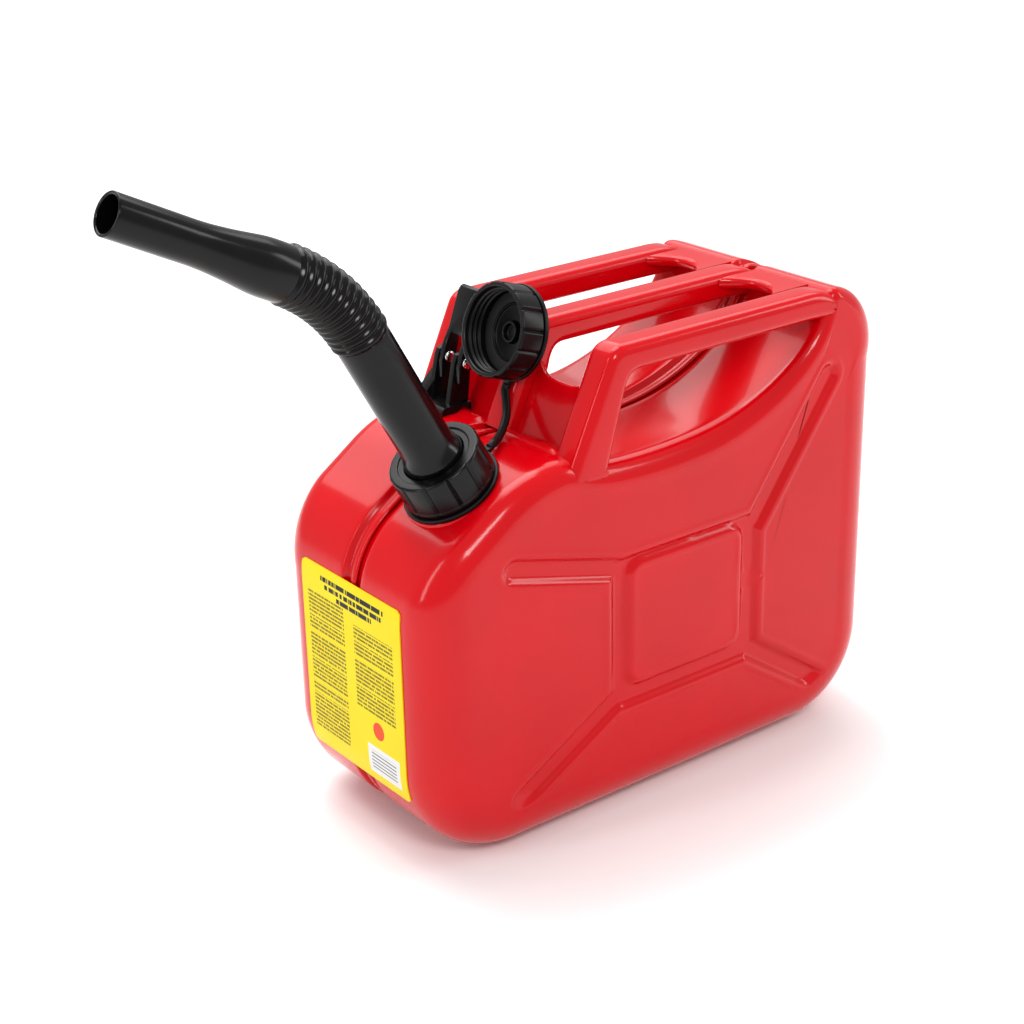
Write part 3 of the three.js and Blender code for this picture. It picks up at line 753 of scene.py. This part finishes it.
for name, centre in (("near", -BAR_OFFSET), ("middle", 0.0), ("far", BAR_OFFSET)):
    made = bar("bar_" + name, centre)
    finish_piece(made, "can", "handle_paint", HANDLE_RED, "handle_bar_" + name, angle=50)


def web(name, side):
    """A plate between two legs, leaning with them, with a saddle-shaped top edge rolled over."""
    first, last = BAR_WIDTH / 2 + 0.3, BAR_OFFSET - BAR_WIDTH / 2 - 0.3
    across = np.linspace(first, last, 41)
    middle, reach = (first + last) / 2, (last - first) / 2
    off = np.abs(across - middle) / reach
    top = WEB_DIP + WEB_RISE * np.clip(off, 0, 1) ** 3.2
    lean = np.array([math.sin(LEG_LEAN), math.cos(LEG_LEAN)])
    out = np.array([math.cos(LEG_LEAN), -math.sin(LEG_LEAN)])
    rings = []
    half = WEB_THICK / 2
    roll_rows = [(half - half * math.cos(math.pi * k / 8), None) for k in range(9)]
    rows = [(0.0, WEB_DOWN)] + roll_rows + [(WEB_THICK, WEB_DOWN)]
    for k, (thick, low) in enumerate(rows):
        ring = []
        for y, up in zip(across, top):
            roll = half * math.sin(math.pi * (k - 1) / 8) if low is None else 0
            v = low if low is not None else up - half + roll
            at = out * (WEB_SETBACK + thick) + lean * v
            ring.append((LEG_FRONT[0] + at[0], side * y, LEG_FRONT[1] + at[1]))
        rings.append(ring)
    count = len(across)
    verts = [p for ring in rings for p in ring]
    faces = []
    for k in range(len(rings)):
        a, b = k * count, ((k + 1) % len(rings)) * count
        for i in range(count - 1):
            faces.append((a + i, a + i + 1, b + i + 1, b + i))
    faces.append([k * count for k in range(len(rings))])
    faces.append([k * count + count - 1 for k in range(len(rings))][::-1])
    return combine(make(name, verts, faces), keep_out(WELD_GAP), "DIFFERENCE")


for name, side in (("near", -1), ("far", 1)):
    made = web("web_" + name, side)
    finish_piece(made, "can", "handle_paint", HANDLE_RED, "handle_web_" + name, angle=50)


def bridge(name, side):
    """A plate joining two bars at the rear crest, with a rounded end to the finger gap and rolled edges."""
    first, last = BAR_WIDTH / 2 + 0.3, BAR_OFFSET - BAR_WIDTH / 2 - 0.3
    middle = (first + last) / 2
    across = np.linspace(last, first, 49)
    off = np.abs(across - middle) / ((last - first) / 2)
    front = BRIDGE_FRONT - BRIDGE_HORN * np.clip(off, 0, 1) ** 2.2
    low, high, radius = BRIDGE_TOP - BRIDGE_THICK, BRIDGE_TOP, BRIDGE_THICK / 2
    rings = []
    for k in range(13):
        a = math.pi * k / 12
        z = (low + high) / 2 - radius * math.cos(a)
        x = front + radius * (1 - math.sin(a))
        rings.append([(px, side * y, z) for px, y in zip(x, across)])
    for z in (high, low):
        rings.append([(BRIDGE_BACK, side * y, z) for y in across])
    count = len(across)
    faces = []
    for k in range(len(rings)):
        a, b = k * count, ((k + 1) % len(rings)) * count
        faces += [(a + i, a + i + 1, b + i + 1, b + i) for i in range(count - 1)]
    faces.append([k * count for k in range(len(rings))])
    faces.append([k * count + count - 1 for k in range(len(rings))][::-1])
    made = make(name, [p for ring in rings for p in ring], faces)
    return combine(made, keep_out(WELD_GAP), "DIFFERENCE")


for name, side in (("near", -1), ("far", 1)):
    made = bridge("bridge_" + name, side)
    finish_piece(made, "can", "handle_paint", HANDLE_RED, "handle_bridge_" + name, angle=50)


# ---- label ----
def label_piece():
    corner = -(LENGTH / 2 - CORNER_R)
    low = math.degrees(math.asin((CORNER_R - LABEL_LOW) / CORNER_R))
    high = math.degrees(math.asin((LABEL_HIGH - SHOULDER_Z) / CORNER_R))
    face = np.vstack(
        [
            arc(corner, SHOULDER_Z, CORNER_R, 180 - high, 180, 0, 0),
            arc(corner, CORNER_R, CORNER_R, 180, 180 + low, 0, 0),
        ]
    )
    rows = []
    for row in face:
        from_end = min(LABEL_HIGH - row[1], row[1] - LABEL_LOW)
        y = LABEL_HALF
        if from_end < LABEL_CORNER:
            rise = LABEL_CORNER**2 - (LABEL_CORNER - from_end) ** 2
            y = LABEL_HALF - LABEL_CORNER + math.sqrt(max(0, rise))
        rows.append((row, y))
    verts, faces = [], []
    across = 24
    for offset in (-LABEL_OUTER, -LABEL_INNER):
        for row, y in rows:
            for k in range(across + 1):
                t = -1 + 2 * k / across
                verts.append((row[0] - row[2] * offset, y * t, row[1] - row[3] * offset))
    stride = across + 1
    layer = len(rows) * stride
    for i in range(len(rows) - 1):
        for k in range(across):
            a = i * stride + k
            quad = (a, a + 1, a + stride + 1, a + stride)
            faces.append(quad)
            faces.append(tuple(layer + q for q in quad[::-1]))
    loop = [k for k in range(stride)]
    loop += [i * stride + across for i in range(1, len(rows))]
    loop += [(len(rows) - 1) * stride + k for k in range(across - 1, -1, -1)]
    loop += [i * stride for i in range(len(rows) - 2, 0, -1)]
    for a, b in zip(loop, loop[1:] + loop[:1]):
        faces.append((a, b, layer + b, layer + a))
    return make("label_skin", verts, faces)


finish_piece(label_piece(), "can", "label_print", LABEL, "label")

# ---- filler neck, with its thread ----
neck = turned(
    "neck_tube",
    rounded([(18.6, -10), (21.5, -10), (21.5, 3.2), (20.6, 4), (20.6, 17), (18.6, 17)], 0.5),
    96,
    ON_NECK,
)
thread_rings = []
for i in range(int(48 * 3.4) + 1):
    a = 2 * math.pi * i / 48
    rise = 4.9 + 3 * i / 48
    taper = min(1, i / 12, (int(48 * 3.4) - i) / 12)
    crest = 20.4 + 1.6 * max(taper, 0.05)
    section = [(20.2, -1.1), (crest, -0.35), (crest, 0.35), (20.2, 1.1)]
    thread_rings.append(
        np.array([ON_NECK @ Vector((r * math.cos(a), r * math.sin(a), rise + dz)) for r, dz in section])
    )
thread = loft("neck_thread", thread_rings, (thread_rings[0].mean(0), thread_rings[-1].mean(0)))
combine(neck, thread, "UNION")
# the neck's darker red is painted shade under the collar, not a different paint
finish_piece(neck, "can", "neck_paint", NECK_SHADED_RED, "filler_neck")

# ---- tether ring, gasket, collar ----
washer = turned("tether_washer", rounded([(22, 0.3), (28.5, 0.3), (28.5, 2.7), (22, 2.7)], 0.6), 96, ON_NECK)
tab_place = ON_NECK @ Matrix.Translation((30.2, 0.5, 0))
tab_profile = rounded([(2.6, 0.4), (2.6, 2.6)], 0, closed=False)
tab = turned("tab", tab_profile, 24, tab_place, closed=False)
combine(washer, tab, "UNION")
finish_piece(washer, "can", "tether_plastic", TETHER_BLACK, "tether_ring")

seal_profile = rounded([(17.6, 17.3), (21.3, 17.3), (21.3, 19.3), (17.6, 19.3)], 0.5)
seal = turned("spout_seal", seal_profile, 80, ON_NECK)
finish_piece(seal, "seat", "seal_rubber", SEAL, "spout_gasket")


def grip_wave(flats, first, width):
    """1 in the narrow grooves between finger flats, 0 on the flats."""

    def wave(angle):
        pitch = 2 * math.pi / flats
        off = (angle - first) % pitch
        off = min(off, pitch - off)
        t = min(1, off / width)
        return 1 - t * t * (3 - 2 * t)

    return wave


collar = turned(
    "collar_grip",
    rounded(
        [
            (22.4, 3.6, 0),
            (27, 3.6, 0.4),
            (27, 5.4, 0.5, 0.2),
            (26.9, 6.2, 1.3, 0.2),
            (26.7, 24.2, 1.3, 0.8),
            (25.6, 25, 0.3),
            (21.6, 25, 0, 0.3),
            (21.0, 24.1, 0, 0.3),
            (18, 24.1, 0, 0.3),
            (18, 22.9, 0, 0.2),
            (22.4, 22.9, 0, 0.2),
        ],
        0.5,
    ),
    360,
    ON_NECK,
    grip_wave(12, math.radians(8), math.radians(3.4)),
)
finish_piece(collar, "collar", "collar_plastic", COLLAR_BLACK, "collar_nut")

# ---- spout: flanged tube, bellows, nozzle ----
spout = turned(
    "spout_lower",
    rounded(
        [
            (13.5, 19.6),
            (21.3, 19.6),
            (21.3, 22.6),
            (17.6, 22.6),
            (17.3, 26, 0, 2),
            (15.4, 32, 0, 3),
            (15, 40, 0, 3),
            (15, 108, 0, 0.4),
            (15.0, SPOUT_STRAIGHT - 0.02),
            (13.5, SPOUT_STRAIGHT - 0.02),
        ],
        0.5,
        6,
    ),
    96,
    ON_NECK,
)
finish_piece(spout, "spout", "spout_plastic", SPOUT_BLACK, "spout_tube", angle=40)

folds, per_fold = 12, 12
bellows_centres, bellows_out, bellows_in = [], [], []
for i in range(folds * per_fold + 1):
    f = i / (folds * per_fold)
    bellows_centres.append(bend_point(NECK_TILT + (OUTER_TILT - NECK_TILT) * f))
    wave = 0.5 - 0.5 * math.cos(2 * math.pi * i / per_fold)
    bellows_out.append(14.95 + 1.4 * wave**0.8)
    bellows_in.append(13.45 + 0.7 * wave)
bellows = swept("bellows", bellows_centres, bellows_out, 80, bellows_in)
finish_piece(bellows, None, "spout_plastic", SPOUT_BLACK, "spout_bellows", angle=75)
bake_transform(bellows)

nozzle = turned(
    "nozzle",
    rounded(
        [
            (13.4, 0.02),
            (15.2, 0.02),
            (15.25, 14, 0, 8),
            (12.6, 34, 0, 8),
            (11.25, 50, 0, 8),
            (11.25, 101.6, 0, 0.7),
            (10.4, 102, 0, 0.3),
            (9.35, 101.4, 0, 0.5),
            (9.35, 50, 0, 6),
            (10.9, 34, 0, 6),
            (13.4, 14, 0, 6),
        ],
        0.4,
        6,
    ),
    96,
    ON_NOZZLE,
)
finish_piece(nozzle, "nozzle", "spout_plastic", SPOUT_BLACK, "spout_nozzle", angle=40)

# ---- cap ----
bore_rows = [(24, -16.6, 0, 0.3), (24, -13.5, 0, 0.2)]
for k in range(3):
    z = -12.4 + 3.4 * k
    bore_rows += [(24.0, z, 0, 0.2), (22.9, z + 0.8, 0, 0.3)]
    bore_rows += [(22.9, z + 1.4, 0, 0.3), (24.0, z + 2.2, 0, 0.2)]
cap = turned(
    "cap_body",
    rounded(
        [
            (0.8, -16.0, 0, 0),
            (4.4, -16.0, 0, 0.5),
            (4.8, -12.6, 0, 0.4),
            (6.2, -12.6, 0, 0.4),
            (6.6, -16.6, 0, 0.5),
            (15.4, -16.6, 0, 0.4),
            (15.8, -15.2, 0, 0.3),
            (16.6, -15.2, 0, 0.3),
            (16.8, -16.6, 0, 0.3),
            *bore_rows,
            (24.2, -0.9, 0, 0.3),
            (24.8, -0.1, 0, 0.3),
            (26.4, -0.1, 0.4, 0.4),
            (27.4, -0.9, 1.2, 0.4),
            (27.4, -15.0, 1.4, 0.4),
            (26.6, -15.8, 0.5, 0.3),
            (25.3, -15.9, 0, 0.2),
            (25.3, -18.2, 0, 0.6),
            (24.2, -19, 0, 0.6),
            (10, -19, 0, 0.5),
            (9.6, -18.6, 0, 0.5),
            (0.8, -18.6, 0, 0),
        ],
        0.4,
        3,
        closed=False,
    ),
    336,
    ON_CAP,
    grip_wave(14, 0, math.radians(3.2)),
    closed=False,
)
finish_piece(cap, "cap", "cap_plastic", CAP_BLACK, "cap_shell")
cap_seal_profile = rounded([(17, -16.3), (23.7, -16.3), (23.7, -14.9), (17, -14.9)], 0.5)
cap_seal = turned("cap_seal", cap_seal_profile, 80, ON_CAP)
finish_piece(cap_seal, "cap", "seal_rubber", SEAL, "cap_gasket")

hoop_profile = rounded([(25.8, -18.7), (27.9, -18.7), (27.9, -16.2), (25.8, -16.2)], 0.6)
hoop = turned("cap_hoop", hoop_profile, 112, ON_CAP)
lug_place = ON_CAP @ Matrix.Translation((-28.6, -3.5, 0))
lug_profile = rounded([(2.3, -18.6), (2.3, -16.3)], 0, closed=False)
lug = turned("lug", lug_profile, 24, lug_place, closed=False)
combine(hoop, lug, "UNION")
finish_piece(hoop, "cap_holder", "tether_plastic", TETHER_BLACK, "cap_loop")

strap_route = [
    (-63.6, -4, 250.9),
    (-66.3, -8.2, 246.4),
    (-70.6, -14, 240.6),
    (-78, -20, 235.6),
    (-86, -26, 233.4),
    (-92, -30, 233.4),
]
strap_points = catmull([(-61.8, -3.6, 253.8), *strap_route, (-95.8, -30.4, 231.6)], 10)
strap_radii = [2.4] * len(strap_points)
strap_radii[0] = strap_radii[-1] = 2.0
strap = swept("strap", strap_points, strap_radii, 28)
finish_piece(strap, None, "tether_plastic", TETHER_BLACK, "cap_strap", angle=60)
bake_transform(strap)


# ---- latch ----
def hard_copy(name, node, width):
    """A CAD node's own shape with its hard corners rounded."""
    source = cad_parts[node]
    made = bpy.data.objects.new(name, source.data.copy())
    bpy.context.scene.collection.objects.link(made)
    return soften(made, width)


base = hard_copy("latch_base", "latch_bracket", 0.5)
finish_piece(base, "can", "latch_black", LATCH_BLACK, "latch_bracket")
lever = hard_copy("latch_lever", "latch_arm", 0.7)
finish_piece(lever, "latch", "latch_black", LATCH_BLACK, "latch_arm")

for name, head, tail in (("near", 27.9, 37.2), ("far", 45.1, 54.2)):
    profile = rounded(
        [
            (0.4, head),
            (2.4, head, 0, 0.8),
            (3.4, head + 0.8, 0, 0.6),
            (3.4, head + 1.6),
            (2.1, head + 1.6),
            (2.1, tail),
            (0.4, tail),
        ],
        0.25,
        4,
        closed=False,
    )
    place = Matrix.Translation((LATCH_PIN[0], 0, LATCH_PIN[1])) @ Matrix.Rotation(math.radians(-90), 4, "X")
    pin = turned("pin_" + name, profile, 48, place, closed=False)
    finish_piece(pin, "can", "pin_steel", PIN_STEEL, "latch_pin_" + name)

# ---- carried-over CAD nodes ----
for node, material in (("breather_tube", TUBE_STEEL), ("strainer_screen", SCREEN_STEEL)):
    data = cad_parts[node].data
    data.materials.clear()
    data.materials.append(material)

# ---- stage, lights and camera ----
FLOOR_HALF = 7.0
corners = ((-1, -1), (1, -1), (1, 1), (-1, 1))
floor_verts = [(FLOOR_HALF * x, FLOOR_HALF * y, 0) for x, y in corners]
floor_mesh = bpy.data.meshes.new("floor")
floor_mesh.from_pydata(floor_verts, [], [(0, 1, 2, 3)])
floor = bpy.data.objects.new("floor", floor_mesh)
floor.location.z = -0.0005
bpy.context.scene.collection.objects.link(floor)
pale = Nodes("pale_floor")
pale.colour(pale.mix(pale.noise(2, 2), (0.93, 0.93, 0.93, 1), (0.95, 0.95, 0.95, 1)))
pale.set(Roughness=0.9)
floor.data.materials.append(pale.material)

world = bpy.data.worlds.new("studio")
bpy.context.scene.world = world
world.use_nodes = True
world.node_tree.nodes["Background"].inputs[0].default_value = (1, 1, 1, 1)
world.node_tree.nodes["Background"].inputs[1].default_value = 0.62


def softbox(name, place, target, size, power):
    light = bpy.data.lights.new(name, "AREA")
    light.shape = "RECTANGLE"
    light.size, light.size_y = size
    light.energy = power
    obj = bpy.data.objects.new(name, light)
    obj.location = place
    obj.rotation_euler = (Vector(target) - Vector(place)).to_track_quat("-Z", "Y").to_euler()
    bpy.context.scene.collection.objects.link(obj)


softbox("key", (-0.7, -1.5, 1.6), (0, 0, 0.15), (0.5, 0.5), 14)
softbox("left_strip", (-1.7, 0.2, 0.9), (0, 0, 0.2), (0.25, 1.3), 7)
softbox("right_fill", (1.6, -1.0, 0.9), (0, 0, 0.15), (0.4, 1.2), 8)
softbox("top", (0.1, 0.5, 1.9), (0, 0, 0.2), (0.9, 1.1), 14)
softbox("floor_wash", (1.2, 2.6, 3.0), (1.2, 2.6, 0), (5.0, 4.0), 150)

camera_data = bpy.data.cameras.new("camera")
camera_data.sensor_width = 36
camera_data.lens = 69.69
camera_data.clip_start, camera_data.clip_end = 0.05, 30
camera = bpy.data.objects.new("camera", camera_data)
bpy.context.scene.collection.objects.link(camera)
azimuth, elevation, roll = math.radians(-37.23), math.radians(22.963), math.radians(-1.283)
level = math.cos(elevation)
back = Vector((math.sin(azimuth) * level, -math.cos(azimuth) * level, math.sin(elevation)))
turn = back.to_track_quat("Z", "Y").to_matrix().to_4x4() @ Matrix.Rotation(roll, 4, "Z")
camera.matrix_world = Matrix.Translation(TO_ROW @ Vector((-704.47, -851.26, 625.71))) @ turn
bpy.context.scene.camera = camera
bpy.context.scene.view_settings.view_transform = "Standard"
